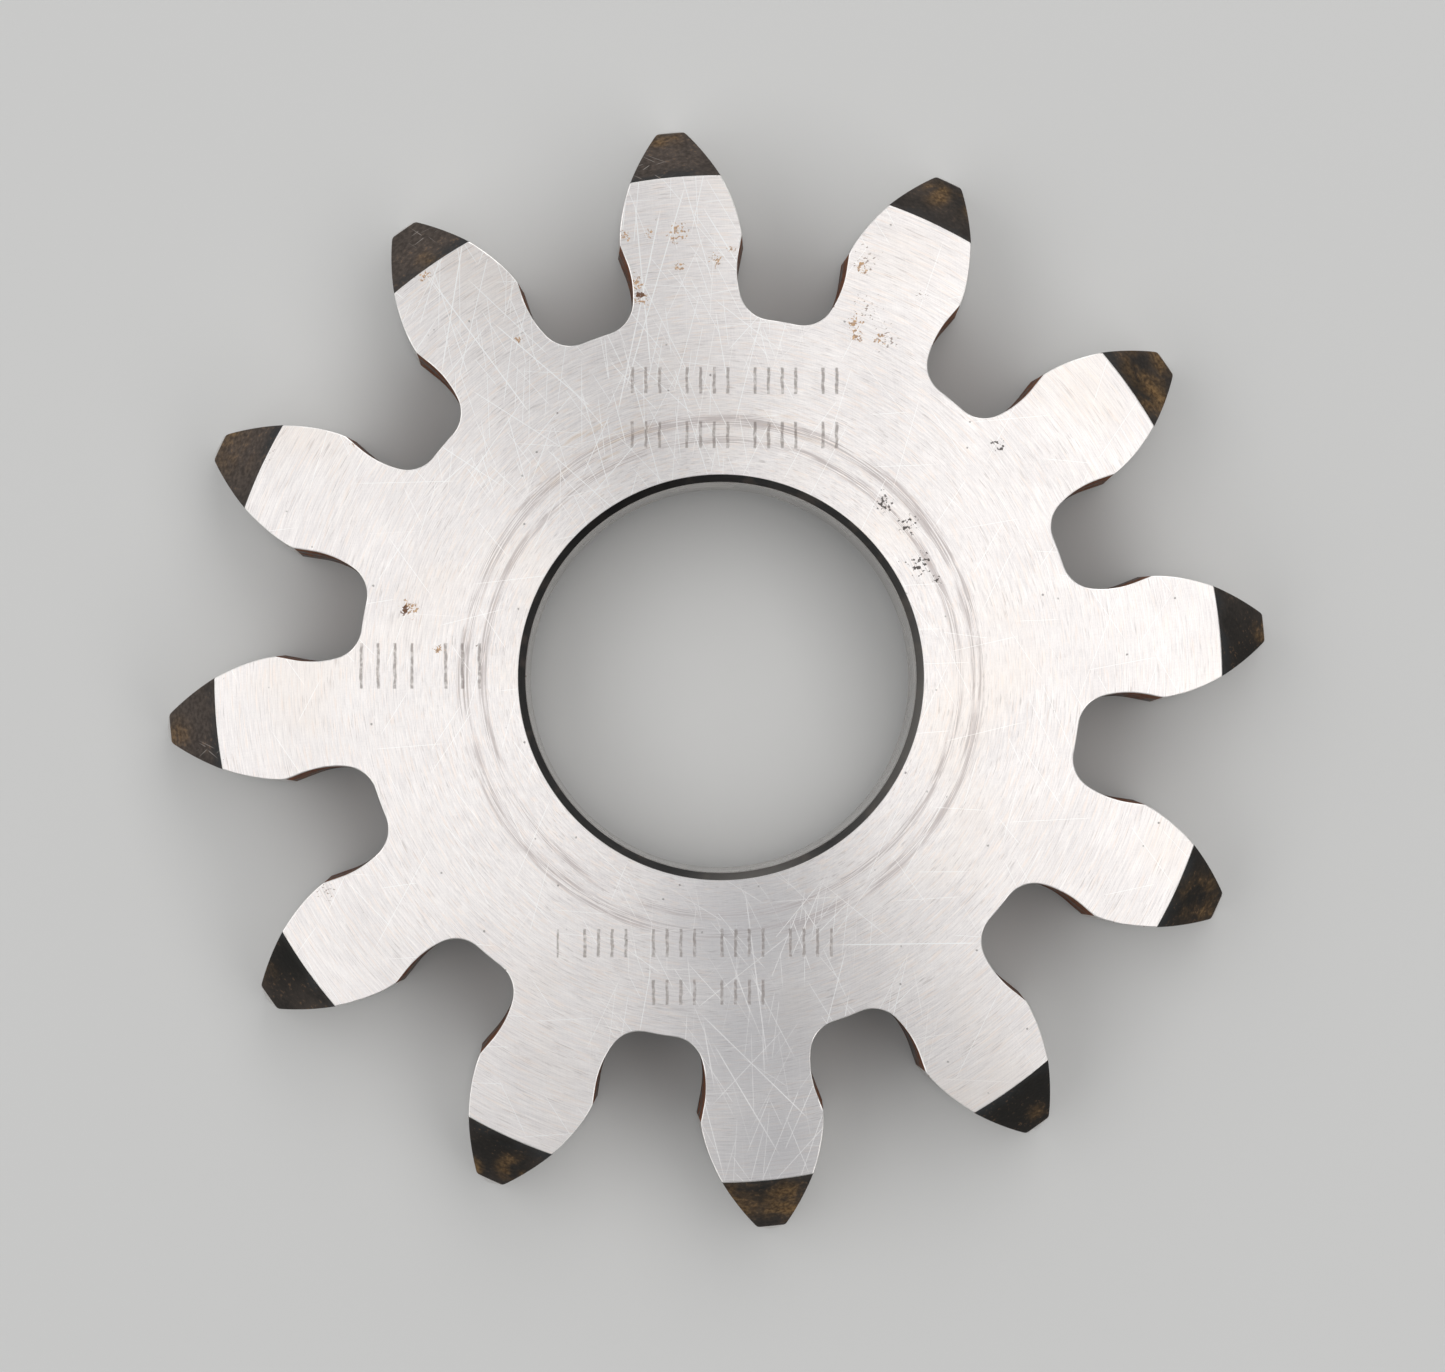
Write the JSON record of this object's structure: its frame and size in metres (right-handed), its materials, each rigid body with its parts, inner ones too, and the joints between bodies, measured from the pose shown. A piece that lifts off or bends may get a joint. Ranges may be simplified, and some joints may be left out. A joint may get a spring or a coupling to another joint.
{
  "type": "gear shaper cutter",
  "caption": "Disc-shaped steel gear shaper cutter: a thick ground ring with a plain bore and relieved involute teeth with chamfered tips and undercut roots.",
  "frame": {"origin": "on the bore's axis, level with the tips of the cutting edges, which are the part's lowest points", "axes": "+Z along the bore, out of the ground back face; +X through the middle of a tooth"},
  "size_m": [0.1468, 0.1468, 0.018],
  "materials": {
    "tool_steel": "ground back face, dark oxide and light rust on the tips and in the gaps"
  },
  "bodies": {
    "root": {"cutter": "tool_steel"}
  },
  "joints": []
}
